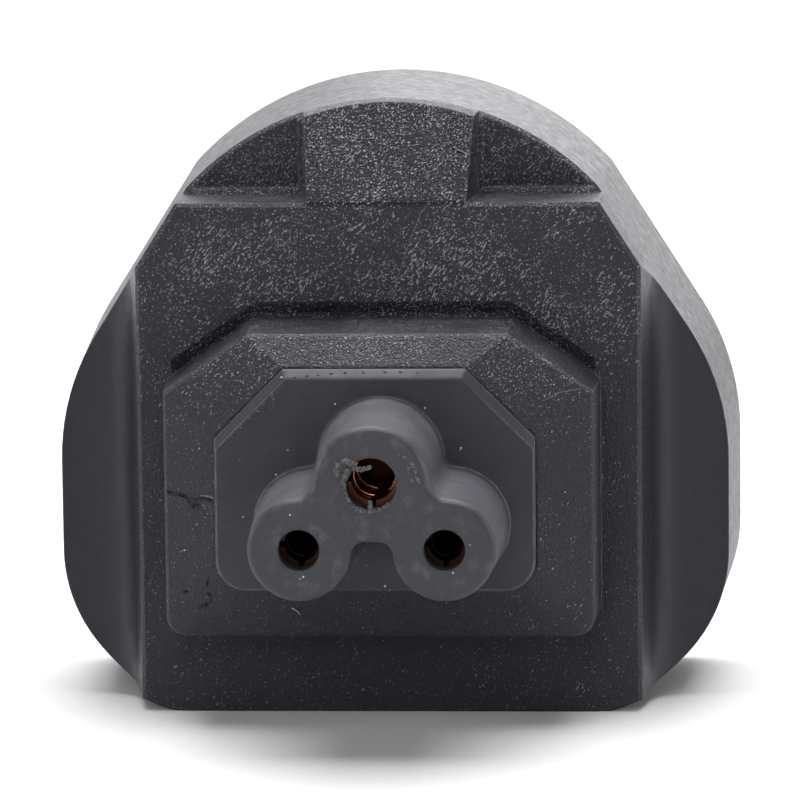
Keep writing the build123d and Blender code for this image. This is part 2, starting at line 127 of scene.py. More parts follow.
# %% [markdown]
# ## The lights
#
# A large panel right overhead is the main light, so that what faces up is bright and what faces the
# camera stays dark. A smaller one high in front glints on the grain and on the sloping faces. Two
# stand behind the adapter: one shines towards it over the top, and one straight down on the far
# floor, which keeps the paper white up to the horizon. Two weak panels at the sides fill the finger
# scoops. Panels are used, and not lamps, because smooth plastic mirrors the shape of its lights.

# %% Light panels
LIGHT_AIM = Vector((0, -10, 8)) * MM
FAR_FLOOR = Vector((0, 1.1001, 0))


def light_panel(name, place, size, power, aim=LIGHT_AIM):
    """A square panel of light, turned towards the adapter or another aim."""
    data = bpy.data.lights.new(name, "AREA")
    data.shape = "SQUARE"
    data.size = size
    data.energy = power
    lamp = bpy.data.objects.new(name, data)
    bpy.context.scene.collection.objects.link(lamp)
    lamp.location = place
    lamp.rotation_mode = "QUATERNION"
    lamp.rotation_quaternion = (aim - Vector(place)).to_track_quat("-Z", "Y")
    return lamp


panels = [
    light_panel("overhead", (0.0, 0.08, 0.85), 0.8, 15.5),
    light_panel("front_high", (-0.12, -0.82, 0.42), 0.40, 2.4),
    light_panel("far_behind", (0.30, 1.50, 0.60), 1.0, 3.5),
    light_panel("over_far_floor", (0.0, 1.10, 0.90), 1.2, 7.0, FAR_FLOOR),
    light_panel("left", (-0.85, -0.15, 0.25), 0.35, 2.3),
    light_panel("right", (0.85, -0.15, 0.25), 0.35, 2.5),
]
print("panels:", len(panels))

# %% [markdown]
# ## The sky
#
# The sky is bright behind the adapter and dim in front of it, like a studio with a white back wall.
# Seen at a flat angle, the top of the slab mirrors that wall, and it shines far more than its dark
# plastic would by itself.

# %% Sky
SKY_BEHIND = 1.6
SKY_IN_FRONT = 0.06
WALL_STARTS = 0.35
WALL_IS_FULL = 0.95

sky = bpy.data.worlds.new("studio")
bpy.context.scene.world = sky
sky.use_nodes = True
sky_nodes = sky.node_tree.nodes
sky_links = sky.node_tree.links
direction = sky_nodes.new("ShaderNodeTexCoord")
parts = sky_nodes.new("ShaderNodeSeparateXYZ")
sky_links.new(direction.outputs["Generated"], parts.inputs[0])
wall = sky_nodes.new("ShaderNodeMapRange")
wall.interpolation_type = "SMOOTHSTEP"
wall.inputs["From Min"].default_value = WALL_STARTS
wall.inputs["From Max"].default_value = WALL_IS_FULL
wall.inputs["To Min"].default_value = SKY_IN_FRONT
wall.inputs["To Max"].default_value = SKY_BEHIND
sky_links.new(parts.outputs["Y"], wall.inputs["Value"])
sky_shader = sky_nodes["Background"]
sky_shader.inputs["Color"].default_value = (1, 1, 1, 1)
sky_links.new(wall.outputs["Result"], sky_shader.inputs["Strength"])
bpy.context.scene.view_settings.view_transform = "Standard"
print("sky:", SKY_IN_FRONT, "to", SKY_BEHIND)

# %% [markdown]
# ## Helpers for materials
#
# Every finish is a set of nodes around one shader. All patterns read Object coordinates: the
# pieces' objects lie at the origin, so these are the real places in metres, and the pattern stays
# where it is when the piece moves. A picture could be wrapped round the pieces instead, but it
# would need unwrapping, and it would blur close up.

# %% Node helpers
class Finish:
    """A material with one shader and short ways to add the nodes round it."""

    def __init__(self, name, colour, rough, metal=0.0):
        self.material = bpy.data.materials.new(name)
        self.material.use_nodes = True
        self.tree = self.material.node_tree
        self.shader = self.tree.nodes["Principled BSDF"]
        self.shader.inputs["Base Color"].default_value = (*colour, 1)
        self.shader.inputs["Roughness"].default_value = rough
        self.shader.inputs["Metallic"].default_value = metal
        self.place = self.add("ShaderNodeTexCoord").outputs["Object"]

    def add(self, kind, **values):
        """A new node, with its inputs set by name, or by number as i0 and i1."""
        node = self.tree.nodes.new(kind)
        for name, value in values.items():
            numbered = name[0] == "i" and name[1:].isdigit()
            key = int(name[1:]) if numbered else name.replace("_", " ")
            self.give(node.inputs[key], value)
        return node

    def give(self, socket, value):
        """Links a socket to another node's output, or sets its value."""
        if isinstance(value, bpy.types.NodeSocket):
            self.tree.links.new(value, socket)
        else:
            socket.default_value = value

    def put(self, **values):
        """Sets the shader's inputs by name."""
        for name, value in values.items():
            self.give(self.shader.inputs[name.replace("_", " ")], value)

    def math(self, operation, first, second=0.0):
        """One step of arithmetic."""
        node = self.add("ShaderNodeMath", i0=first, i1=second)
        node.operation = operation
        return node.outputs[0]

    def times(self, first, *others):
        """All the values multiplied."""
        for other in others:
            first = self.math("MULTIPLY", first, other)
        return first

    def most(self, first, *others):
        """The largest of the values."""
        for other in others:
            first = self.math("MAXIMUM", first, other)
        return first

    def vector(self, operation, first, second=(0, 0, 0)):
        """One step of arithmetic with places."""
        node = self.add("ShaderNodeVectorMath", i0=first, i1=second)
        node.operation = operation
        return node

    def noise(self, scale, detail=3.0, rough=0.55, place=None):
        """Soft noise between 0 and 1, with scale in cycles per metre."""
        node = self.add("ShaderNodeTexNoise", Vector=place or self.place, Scale=scale,
                        Detail=detail, Roughness=rough)
        return node.outputs["Fac"]

    def pits(self, scale):
        """Distance to the nearest of many scattered points."""
        node = self.add("ShaderNodeTexVoronoi", Vector=self.place, Scale=scale)
        return node.outputs["Distance"]

    def ramp(self, value, low, high, to_low=0.0, to_high=1.0):
        """Turns the stretch from low to high into another stretch, and stops at its ends."""
        node = self.add("ShaderNodeMapRange", Value=value, From_Min=low, From_Max=high,
                        To_Min=to_low, To_Max=to_high)
        node.interpolation_type = "SMOOTHSTEP"
        return node.outputs["Result"]

    def step(self, value, edge, soft, before=0.0, beyond=1.0):
        """A soft step from one value to another at an edge. Edge and soft are in millimetres."""
        return self.ramp(value, (edge - soft) * MM, (edge + soft) * MM, before, beyond)

    def mix(self, factor, first, second):
        """One colour over another."""
        node = self.add("ShaderNodeMix")
        node.data_type = "RGBA"
        self.give(node.inputs["Factor"], factor)
        for socket, colour in ((node.inputs[6], first), (node.inputs[7], second)):
            self.give(socket, (*colour, 1) if isinstance(colour, tuple) else colour)
        return node.outputs[2]

    def stretched(self, x, y, z):
        """The place with each direction stretched by its own factor."""
        return self.vector("MULTIPLY", self.place, (x, y, z)).outputs[0]

    def turned(self, degrees, x, y, z):
        """The place turned about Y, so that a pattern can be stretched along a slanting line."""
        turned = self.add("ShaderNodeVectorRotate", Vector=self.place, Angle=math.radians(degrees))
        turned.rotation_type = "Y_AXIS"
        return self.vector("MULTIPLY", turned.outputs[0], (x, y, z)).outputs[0]

    def coordinates(self):
        """X, Y and Z as separate numbers."""
        node = self.add("ShaderNodeSeparateXYZ", Vector=self.place)
        return node.outputs["X"], node.outputs["Y"], node.outputs["Z"]

    def line(self, start, end, width):
        """1 on a thin line between two places, seen from the front. All are in millimetres."""
        start = Vector((start[0], 0, start[1])) * MM
        run = Vector((end[0], 0, end[1])) * MM - start
        from_start = self.vector("SUBTRACT", self.stretched(1, 0, 1), start).outputs[0]
        along = self.vector("DOT_PRODUCT", from_start, run / run.length_squared).outputs["Value"]
        part = self.math("MAXIMUM", self.math("MINIMUM", along, 1.0), 0.0)
        reach = self.vector("SCALE", run)
        self.give(reach.inputs["Scale"], part)
        off = self.vector("SUBTRACT", from_start, reach.outputs[0]).outputs[0]
        away = self.vector("LENGTH", off).outputs["Value"]
        return self.ramp(away, width * MM * 0.5, width * MM, 1.0, 0.0)

    def path(self, width, *places):
        """1 on a thin line through several places in millimetres."""
        return self.most(*(self.line(start, end, width) for start, end in zip(places, places[1:])))

    def rounded(self, radius):
        """The surface's direction with its sharp edges softened over this radius in millimetres."""
        node = self.add("ShaderNodeBevel", Radius=radius * MM)
        node.samples = 6
        return node.outputs["Normal"]

    def edges(self, radius, low=0.01, high=0.10):
        """1 along sharp edges, where the rounded direction leaves the true one, 0 elsewhere."""
        true = self.add("ShaderNodeNewGeometry").outputs["Normal"]
        near = self.vector("DOT_PRODUCT", self.rounded(radius), true).outputs["Value"]
        return self.ramp(near, 1.0 - high, 1.0 - low, 1.0, 0.0)

    def bump(self, height, distance, after=None):
        """Raises and lowers the surface a little. The distance is in metres."""
        node = self.add("ShaderNodeBump", Height=height, Distance=distance, Strength=1.0)
        if after is not None:
            self.give(node.inputs["Normal"], after)
        return node.outputs["Normal"]


def paint(finish, *names):
    """Gives the named pieces this finish alone."""
    for name in names:
        mesh = nodes[name].data
        mesh.materials.clear()
        mesh.materials.append(finish.material)
    print(finish.material.name, "on", len(names), "pieces")


print("helpers ready")

# %% [markdown]
# ## The overmould's spark-eroded grain
#
# The steel of the mould was eroded by sparks, which leaves a fine crust on the box, the rib and the
# collar. The finger scoops beside the box were milled and polished, so they came out smooth. One
# material shows both: a mask made from the place tells the two kinds of surface apart. Real bumps
# would need millions of faces, and noise in the material looks the same at this size.

# %% Where the body is grainy
BODY_COLOUR = (0.0122, 0.0120, 0.0180)
# Pale colour for real scratches and rubbed edges, and also for painted glints and edge highlights.
BODY_PALE_WEAR_AND_HIGHLIGHT = (0.300, 0.293, 0.325)
# Dark colour for painted shade in the crust's hollows and in the tear, dent, nicks and gash.
BODY_DARK_MARK_AND_SHADE = (0.0035, 0.0035, 0.0048)
SLAB_FACE_Y = -14.9
BOX_SIDE = 18.25
RIB_SIDE = 6.45
RIB_FOOT_Z = 25.3
POCKET_FLOOR_Z = 25.1
POCKET_BACK_Y = -14.45
LEDGE_Z = 24.9
SCOOP_GRAIN = 0.10

body = Finish("body_grain", BODY_COLOUR, 0.42)
x, y, z = body.coordinates()
beside = body.math("ABSOLUTE", x)
in_front = body.step(y, SLAB_FACE_Y, 0.3, 1.0, 0.0)
on_box = body.times(body.step(beside, BOX_SIDE, 0.15, 1.0, 0.0), in_front)
in_pockets = body.times(body.step(z, POCKET_FLOOR_Z, 0.2), body.step(y, POCKET_BACK_Y, 0.15, 0.8, 0.0))
grainy = body.most(on_box, in_pockets, SCOOP_GRAIN)
print("box to", BOX_SIDE, "mm, slab face at", SLAB_FACE_Y, "mm")

# %% [markdown]
# The crust is a sum of three noises: coarse crumbs, fine crumbs, and streaks that lean to the right
# as the tool marks on the photographed box do. Slow waves under them keep the faces from looking
# ruled.

# %% The crust
STREAK_TURN = -38

coarse = body.noise(7000, 1.5, 0.5)
fine = body.noise(10500, 1.5, 0.6)
streaks = body.noise(8600, 1.5, 0.5, body.turned(STREAK_TURN, 1.0, 1.0, 0.34))
waves = body.noise(330, 2.0, 0.5, body.stretched(1.0, 1.0, 0.35))
small = body.times(body.math("ADD", fine, streaks), 0.4)
height = body.times(body.math("ADD", coarse, small), grainy)
print("streaks lean by", -STREAK_TURN, "degrees")

# %% [markdown]
# Only the highest crumbs glint, and the glint is painted: pale colour that stands in for the light
# they would catch. How many do depends on where they are: most on the rib and the upper part of
# the box, few at the foot, so these painted highlights also make the top lighter than the foot. A
# limit made from the place cuts the noise higher or lower, and what stands above it is painted pale.

# %% Where glints are painted on the crust
GLINT_LIMITS = (0.69, 0.56)

on_rib = body.times(body.step(z, RIB_FOOT_Z, 0.3), body.step(beside, RIB_SIDE, 0.15, 1.0, 0.0))
high_up = body.step(z, 12.5, 4.5, 0.22, 0.72)
clouds = body.ramp(body.noise(150, 2.0), 0.3, 0.6, 0.55, 1.0)
middle = body.times(body.step(beside, 15.0, 3.0, 1.0, 0.75), clouds)
dense = body.most(body.times(on_rib, 0.66), body.times(high_up, middle))
limit = body.ramp(dense, 0.0, 1.0, *GLINT_LIMITS)
# Painted highlight: crumbs and strokes that stand above the limit become pale glints in the colour.
crumbs = body.ramp(body.math("SUBTRACT", coarse, limit), 0.0, 0.10)
strokes = body.ramp(body.math("SUBTRACT", streaks, limit), 0.0, 0.10)
stroked = body.ramp(body.noise(210, 2.0), 0.36, 0.52)
painted_glint = body.most(crumbs, body.times(strokes, stroked))
painted_glint = body.times(painted_glint, body.ramp(fine, 0.35, 0.6, 0.35, 1.0), grainy)
# Painted shade: the low parts of the crust are darkened towards the dark colour.
hollow_shade = body.times(body.ramp(fine, 0.48, 0.36), grainy)
print("glint limits, sparse and dense:", GLINT_LIMITS)

# %% [markdown]
# ## Marks on the body
#
# The photographed adapter has a long scratch on the box, a tear and a round dent beside the block,
# and a gash at the rib's right edge. Each is thinner than a hair, so it is a line drawn in the
# material. Noise breaks the lines up, because a torn edge is never as even as a drawn one.

# %% Scratches, a tear and a dent
long_scratch = body.path(0.042, (0.21, 18.1), (0.95, 20.27), (1.69, 22.43), (2.43, 24.23), (2.9, 25.0))
scratch = body.most(long_scratch, body.path(0.06, (11.74, 11.9), (12.59, 12.3), (14.0, 12.5)))
long_tear = body.path(0.20, (-15.3, 5.15), (-14.3, 4.95), (-13.3, 4.6), (-12.9, 4.85), (-12.2, 4.75))
tear = body.most(long_tear, body.path(0.38, (-13.6, 4.5), (-13.2, 4.25)))
torn_lip = body.path(0.08, (-12.95, 5.0), (-12.5, 5.03), (-12.1, 4.92))
dent = body.path(0.14, (-13.21, -3.08), (-12.71, -2.93), (-12.34, -2.64), (-12.27, -2.28),
                 (-12.48, -2.06))
nicks = body.most(body.path(0.10, (-14.34, -2.06), (-14.05, -1.92)),
                  body.path(0.09, (-12.61, -1.55), (-12.46, -0.83)))
gash = body.path(0.10, (4.7, 28.75), (5.5, 28.35), (6.3, 28.15))
gash_lip = body.path(0.06, (4.7, 28.9), (5.5, 28.5), (6.1, 28.3))
print("marks drawn on the front of the body")

# %% Dark and pale parts of the marks
# Painted shade and highlight: the tear, dent, nicks and gash are real damage, drawn dark as the shade
# in their grooves; the lips above the tear and the gash are drawn pale as the light they catch; the
# scratch's paleness is the plastic's own.
patchy = body.ramp(body.noise(2400, 3.0, 0.6), 0.40, 0.60, 0.15, 0.80)
marks_and_painted_shade = body.times(body.most(tear, dent, nicks, gash), body.times(in_front, patchy))
lips = body.times(body.most(torn_lip, gash_lip), body.ramp(fine, 0.4, 0.6, 0.15, 0.65))
pale_scratch_and_highlight = body.times(body.most(body.times(scratch, 0.20), lips), in_front)
print("marks split into dark and pale")

# %% [markdown]
# ## The body's colour, gloss and relief
#
# The plastic is nearly black by itself. Its grey comes from gloss and from painted glints on the
# crust, so the gloss is what tells the faces apart: the slab and the front shine, the crusted rib and
# the ledges under the finger pockets hardly do, and torn places don't at all. The crust's hollows are
# painted darker as shade. Sharp edges are rubbed pale where hands touch them, and the same pale line
# is also a painted highlight along them.

# %% Body finish
COOL_GLOSS = (0.94, 0.93, 1.0, 1)

# Real wear and painted highlight: the sharp front edges are painted pale.
worn_and_edge_highlight = body.times(body.edges(0.14), body.ramp(body.noise(900, 3.0), 0.35, 0.6, 0.10, 0.38), in_front)
normal = body.rounded(0.26)
normal = body.bump(body.noise(9000, 2.0, 0.5), 0.000006, normal)
normal = body.bump(waves, 0.00012, normal)
normal = body.bump(height, 0.00010, normal)
normal = body.bump(body.times(marks_and_painted_shade, -1.0), 0.00012, normal)
colour = body.mix(body.times(hollow_shade, 0.7), BODY_COLOUR, BODY_DARK_MARK_AND_SHADE)
colour = body.mix(body.most(painted_glint, worn_and_edge_highlight, pale_scratch_and_highlight), colour, BODY_PALE_WEAR_AND_HIGHLIGHT)
colour = body.mix(marks_and_painted_shade, colour, BODY_DARK_MARK_AND_SHADE)
rough = body.ramp(body.noise(1500, 3.0), 0.3, 0.7, 0.36, 0.47)
crusted_top = body.times(body.step(z, LEDGE_Z, 0.3), in_front)
gloss = body.times(body.ramp(crusted_top, 0.0, 1.0, 0.38, 0.13), body.math("SUBTRACT", 1.0, marks_and_painted_shade))
body.put(Base_Color=colour, Roughness=rough, Normal=normal, Specular_IOR_Level=gloss,
         Specular_Tint=COOL_GLOSS)
paint(body, "overmould")

# %% [markdown]
# ## The outlet block
#
# The block and its nose come from a polished mould, in a slightly lighter plastic. They show a faint
# unevenness, some dust and the matt smear of handling and plugging, and a ragged pale line along
# the slanting upper edges is a painted highlight. The nose catches more light on its flanks than on
# its flat mouth, so the three zones are painted in greys of their own, told apart by their depth.

# %% Greys of the block
BLOCK_COLOUR = (0.0220, 0.0216, 0.0275)
NOSE_COLOUR = (0.056, 0.055, 0.0640)
MOUTH_COLOUR = (0.0325, 0.0320, 0.0385)
RUBBED_COLOUR = (0.085, 0.085, 0.09)
EDGE_HIGHLIGHT_COLOUR = (0.235, 0.230, 0.245)
INSERT_DUST = (0.20, 0.20, 0.20)
NOSE_ROOT_Y = -29.65
MOUTH_Y = -39.7

satin = Finish("insert_satin", BLOCK_COLOUR, 0.42)
x, y, z = satin.coordinates()
# Painted light and shade: the nose's flanks are painted palest, its mouth darker, the block's face
# darkest.
nose = satin.step(y, NOSE_ROOT_Y, 0.85, 1.0, 0.0)
mouth = satin.step(y, MOUTH_Y, 0.2, 1.0, 0.0)
colour = satin.mix(nose, BLOCK_COLOUR, NOSE_COLOUR)
colour = satin.mix(mouth, colour, MOUTH_COLOUR)
print("three greys by depth")

# %% Rubbing, painted edge highlights and dust on the block
BLOCK_END_Y = -29.3
SLANT_STARTS = 6.7

smear = satin.noise(700, 4.0, 0.65)
rubbed = satin.times(satin.ramp(smear, 0.50, 0.70), satin.ramp(nose, 0.0, 1.0, 0.12, 0.55))
colour = satin.mix(rubbed, colour, RUBBED_COLOUR)
on_block = satin.step(y, BLOCK_END_Y, 0.1)
slanting = satin.step(satin.math("ABSOLUTE", x), SLANT_STARTS, 0.5, 0.45, 1.0)
uneven = satin.ramp(satin.noise(1600, 3.0), 0.3, 0.6, 0.25, 0.80)
# Painted highlight: the slanting upper edges of the block are painted pale and ragged.
colour = satin.mix(satin.times(satin.edges(0.22), uneven, on_block, slanting), colour, EDGE_HIGHLIGHT_COLOUR)
specks = satin.ramp(satin.pits(900), 0.035, 0.06, 1.0, 0.0)
dusty = satin.times(specks, satin.ramp(satin.noise(400, 2.0), 0.5, 0.62), 0.6)
colour = satin.mix(dusty, colour, INSERT_DUST)
print("rubbed, highlit and dusty")

# %% Satin finish
cloud = satin.noise(260, 3.0, 0.6)
normal = satin.bump(cloud, 0.00008, satin.rounded(0.40))
normal = satin.bump(satin.noise(6000, 2.0), 0.000005, normal)
satin.put(Base_Color=colour, Roughness=satin.ramp(cloud, 0.3, 0.7, 0.42, 0.56), Normal=normal,
          Specular_IOR_Level=0.40, Specular_Tint=(0.95, 0.94, 1.0, 1))
paint(satin, "outlet_insert")

# %% [markdown]
# ## Inner plastics
#
# The bridge, its cover and the locator are moulded in the same dark plastic with a plain tool
# finish, and the fuse carrier is a little glossier, because fingers touch it. They differ in colour
# and gloss alone, so one function makes all three finishes.

# %% Bridge, carrier and sleeves
def plain_plastic(name, colour, pale, rough_low, rough_high):
    """Moulded plastic with a faint orange-peel surface and slightly uneven gloss."""
    finish = Finish(name, colour, rough_low)
    peel = finish.noise(1200, 2.0)
    finish.put(
        Base_Color=finish.mix(finish.ramp(peel, 0.45, 0.75), colour, pale),
        Roughness=finish.ramp(finish.noise(500, 3.0), 0.3, 0.7, rough_low, rough_high),
        Normal=finish.bump(finish.noise(5000, 2.0), 0.000006, finish.bump(peel, 0.00003)))
    return finish


bridge = plain_plastic("bridge_plastic", (0.034, 0.034, 0.038), (0.045, 0.045, 0.05), 0.45, 0.6)
carrier = plain_plastic("carrier_plastic", (0.040, 0.040, 0.045), (0.052, 0.052, 0.058), 0.32, 0.46)
sleeve = plain_plastic("sleeve_plastic", (0.012, 0.012, 0.012), (0.018, 0.018, 0.018), 0.35, 0.5)
paint(bridge, "pin_bridge", "bridge_cover", "contact_locator")
paint(carrier, "fuse_carrier")
paint(sleeve, "line_pin_sleeve", "neutral_pin_sleeve")

# %% [markdown]
# ## Metals
#
# The pins are drawn brass, so fine lines run along them. The contacts are a redder copper alloy,
# bright in the earth hole. In the two lower holes they are painted much darker, as shade inside
# those holes. The fuse has nickel-plated caps. Fine lines are noise that is stretched along the way
# the metal was drawn.

# %% Brass, copper and nickel
def drawn_metal(name, colour, tarnish, rough, stretch=(1.0, 0.3, 1.0)):
    """Metal with fine lines along one direction and darker patches where it has tarnished."""
    finish = Finish(name, colour, rough, 1.0)
    lines = finish.noise(4000, 2.0, 0.6, finish.stretched(*stretch))
    patches = finish.ramp(finish.noise(450, 3.0, 0.6), 0.42, 0.78)
    finish.put(
        Base_Color=finish.mix(finish.times(patches, 0.6), colour, tarnish),
        Roughness=finish.math("ADD", finish.ramp(patches, 0.0, 1.0, rough, rough + 0.12),
                              finish.times(lines, 0.08)),
        Normal=finish.bump(lines, 0.000006))
    return finish


brass = drawn_metal("pin_brass", (0.56, 0.41, 0.19), (0.44, 0.31, 0.14), 0.30, (1.0, 0.05, 1.0))
copper = drawn_metal("contact_copper", (0.20, 0.075, 0.04), (0.05, 0.018, 0.012), 0.36)
lip_copper = drawn_metal("lip_copper", (0.95, 0.46, 0.22), (0.60, 0.24, 0.10), 0.22)
shade_darkened_copper = drawn_metal("shade_darkened_copper", (0.050, 0.025, 0.019), (0.03, 0.014, 0.010), 0.42)
nickel = drawn_metal("fuse_cap_metal", (0.72, 0.71, 0.69), (0.5, 0.48, 0.44), 0.2, (1.0, 1.0, 1.0))
paint(brass, "earth_pin", "line_pin", "neutral_pin")
paint(copper, "earth_contact", "earth_strap", "neutral_strap", "line_fuse_clip", "load_fuse_clip")
paint(shade_darkened_copper, "line_contact", "neutral_contact")
paint(nickel, "fuse_cap_line", "fuse_cap_load", "fuse_wire")

# %% [markdown]
# ## The fuse's ceramic tube
#
# A glazed white tube, with a faint warm tint in places and a smooth, glassy surface.

# %% Ceramic
ceramic = Finish("fuse_ceramic", (0.80, 0.78, 0.73), 0.18)
tint = ceramic.noise(300, 3.0)
glaze = ceramic.mix(ceramic.ramp(tint, 0.45, 0.7), (0.82, 0.80, 0.76), (0.74, 0.70, 0.62))
ceramic.put(Base_Color=glaze, Roughness=ceramic.ramp(tint, 0.3, 0.7, 0.12, 0.28),
            Normal=ceramic.bump(ceramic.noise(900, 2.0), 0.00001))
paint(ceramic, "fuse_tube")

# %% [markdown]
# ## The floor's finish
#
# Plain paper: pale, quite matt, with a trace of tooth that keeps it from looking painted.

# %% Paper
paper = Finish("paper", (0.62, 0.62, 0.62), 0.85)
tooth = paper.noise(1800, 3.0)
paper.put(Base_Color=paper.mix(paper.ramp(tooth, 0.3, 0.7), (0.61, 0.61, 0.61), (0.63, 0.63, 0.63)),
          Normal=paper.bump(tooth, 0.00002))
floor.data.materials.append(paper.material)
print("floor finish:", paper.material.name)

# %% [markdown]
# ## Lips inside the contacts
#
# Light falls a little way into the outlet's holes and catches the rolled lips of the contacts: thin
# bright arcs, with dark bore between them. A lip is a wire-like ring with a split. A torus has no
# split, so a small circle is spun almost all the way round the bore, and its two ends are closed.

# %% Fixing a new piece
def fix(piece, name, finish):
    """Names a modelled piece, gives it its finish and fixes it to the adapter."""
    piece.name = name
    piece.data.name = name
    piece.data.materials.append(finish.material)
    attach(piece, "adapter")
    print(name, "faces:", len(piece.data.polygons))


print("new pieces are fixed to the body named adapter")

# %% One lip
LIP_TURN = math.radians(326)
LIP_START = math.radians(-52)
LIP_THICK = 0.08
LIP_SIDES = 10
LIP_STEPS = 44


def contact_lip(x, level, z, radius):
    """A split ring round the axis of a hole, with its places in millimetres."""
    deselect_all()
    centre = Vector((x, -level, z)) * MM
    outwards = Vector((math.cos(LIP_START), 0, math.sin(LIP_START)))
    bpy.ops.mesh.primitive_circle_add(vertices=LIP_SIDES, radius=LIP_THICK * MM, fill_type="NOTHING",
                                      location=centre + outwards * radius * MM,
                                      rotation=(0, -LIP_START, 0))
    lip = bpy.context.object
    bpy.ops.object.transform_apply(location=True, rotation=True, scale=True)
    bpy.ops.object.mode_set(mode="EDIT")
    bpy.ops.mesh.select_all(action="SELECT")
    bpy.ops.mesh.spin(steps=LIP_STEPS, angle=LIP_TURN, center=centre, axis=(0, 1, 0))
    bpy.ops.mesh.select_all(action="SELECT")
    bpy.ops.mesh.remove_doubles(threshold=1e-7)
    bpy.ops.mesh.fill_holes(sides=LIP_SIDES)
    bpy.ops.mesh.normals_make_consistent(inside=False)
    bpy.ops.object.mode_set(mode="OBJECT")
    bpy.ops.object.shade_smooth()
    return lip


print("a lip turns through", round(math.degrees(LIP_TURN)), "degrees")

# %% Two lips in each hole
NOSE_LEVEL = -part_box("outlet_insert")[0].y / MM
LIP_DEPTHS = (4.4, 7.6)
# The lower holes' contacts and lips take the darkened copper, painted shade for inside the holes.
HOLES = (("line", -5.0, 3.2, 1.12, shade_darkened_copper),
         ("earth", 0.0, 7.8, 1.47, lip_copper),
         ("neutral", 5.0, 3.2, 1.12, shade_darkened_copper))

for hole, x, z, radius, finish in HOLES:
    for row, depth in enumerate(LIP_DEPTHS):
        lip = contact_lip(x, NOSE_LEVEL - depth, z, radius)
        fix(lip, f"{hole}_contact_lip_{row}", finish)

# %% [markdown]
# ## Torn plastic, flash and dust
#
# The outlet has been used. The plug that goes in has torn the left rim of the earth hole, thin flash
# from the mould stands on the block's upper edge, and crumbs of dust lie about. Each of them is a
# lump of no exact shape. Sculpting would suit them, but it needs a hand, so they are grown from
# small faceted balls that are squashed one by one and then shaken together, always by the same
# amounts.

# %% Where lumps can sit
FRONT_OF_ALL = -60


def on_front(node, x, z):
    """The place where a line along +Y first meets this piece. X and Z are in millimetres."""
    found, place, _, _ = nodes[node].ray_cast(Vector((x, FRONT_OF_ALL, z)) * MM, Vector((0, 1, 0)))
    return place


def on_nose(x, z):
    """A place level with the front of the nose, also over a hole."""
    return Vector((x, -NOSE_LEVEL, z)) * MM


bpy.context.view_layer.update()
print("nose at level", round(NOSE_LEVEL, 2), "mm")

# %% [markdown]
# The balls start in one mesh, in edit mode. The first ball only opens the mesh and is deleted.
# Where lumps should run into one, a voxel remesh melts them together, and a short smoothing takes
# the steps of the voxels away.

# %% Lumps
SMOOTHINGS = 3


def melt_together(piece, voxel):
    """Runs touching lumps into one. The voxel is in millimetres."""
    merge = piece.modifiers.new("merge", "REMESH")
    merge.mode = "VOXEL"
    merge.voxel_size = voxel * MM
    soften = piece.modifiers.new("soften", "SMOOTH")
    soften.iterations = SMOOTHINGS
    bpy.ops.object.modifier_apply(modifier="merge")
    bpy.ops.object.modifier_apply(modifier="soften")


def lumps(spots, shake, seed, voxel=0.0):
    """One mesh of small lumps. A spot is a place, a size in millimetres and its three stretches."""
    deselect_all()
    bpy.ops.mesh.primitive_ico_sphere_add(subdivisions=2, radius=MM, location=(0, 0, 0))
    piece = bpy.context.object
    bpy.ops.object.mode_set(mode="EDIT")
    bpy.ops.mesh.select_all(action="SELECT")
    bpy.ops.mesh.delete(type="VERT")
    for place, size, stretch in spots:
        bpy.ops.mesh.primitive_ico_sphere_add(subdivisions=2, radius=size * MM, location=place)
        bpy.ops.transform.resize(value=stretch)
    bpy.ops.mesh.select_all(action="SELECT")
    bpy.ops.transform.vertex_random(offset=shake * MM, uniform=1.0, seed=seed)
    bpy.ops.mesh.normals_make_consistent(inside=False)
    bpy.ops.object.mode_set(mode="OBJECT")
    bpy.ops.object.transform_apply(location=True, rotation=True, scale=True)
    if voxel:
        melt_together(piece, voxel)
    bpy.ops.object.shade_smooth()
    return piece


print("smoothings after a remesh:", SMOOTHINGS)

# %% [markdown]
# Torn plastic is paler than moulded plastic, because its surface is rough. Flash is a dull cream in
# the photograph, and lint is paler still. All three are matt and crumbly.

# %% Finishes of the crumbs
def rough_stuff(name, colour, pale):
    """A dull, crumbly finish."""
    finish = Finish(name, colour, 0.75)
    crumb = finish.noise(5200, 3.0, 0.6)
    finish.put(Base_Color=finish.mix(finish.ramp(crumb, 0.4, 0.65), colour, pale),
               Normal=finish.bump(crumb, 0.00004))
    return finish


torn = rough_stuff("torn_plastic", (0.045, 0.045, 0.051), (0.105, 0.105, 0.112))
flash = rough_stuff("mould_flash", (0.20, 0.19, 0.17), (0.50, 0.48, 0.42))
lint = rough_stuff("lint", (0.38, 0.36, 0.29), (0.60, 0.56, 0.45))
print("crumbly finishes:", torn.material.name, flash.material.name, lint.material.name)

# %% [markdown]
# ## The torn rim
#
# A ridge of torn plastic runs along the upper left of the earth hole and ends in a flap that hangs
# into the hole. Small burrs follow the lower rim, and a scuffed patch lies to the right. The places
# are chosen from the photograph, as X, Z and size in millimetres on the front of the nose.

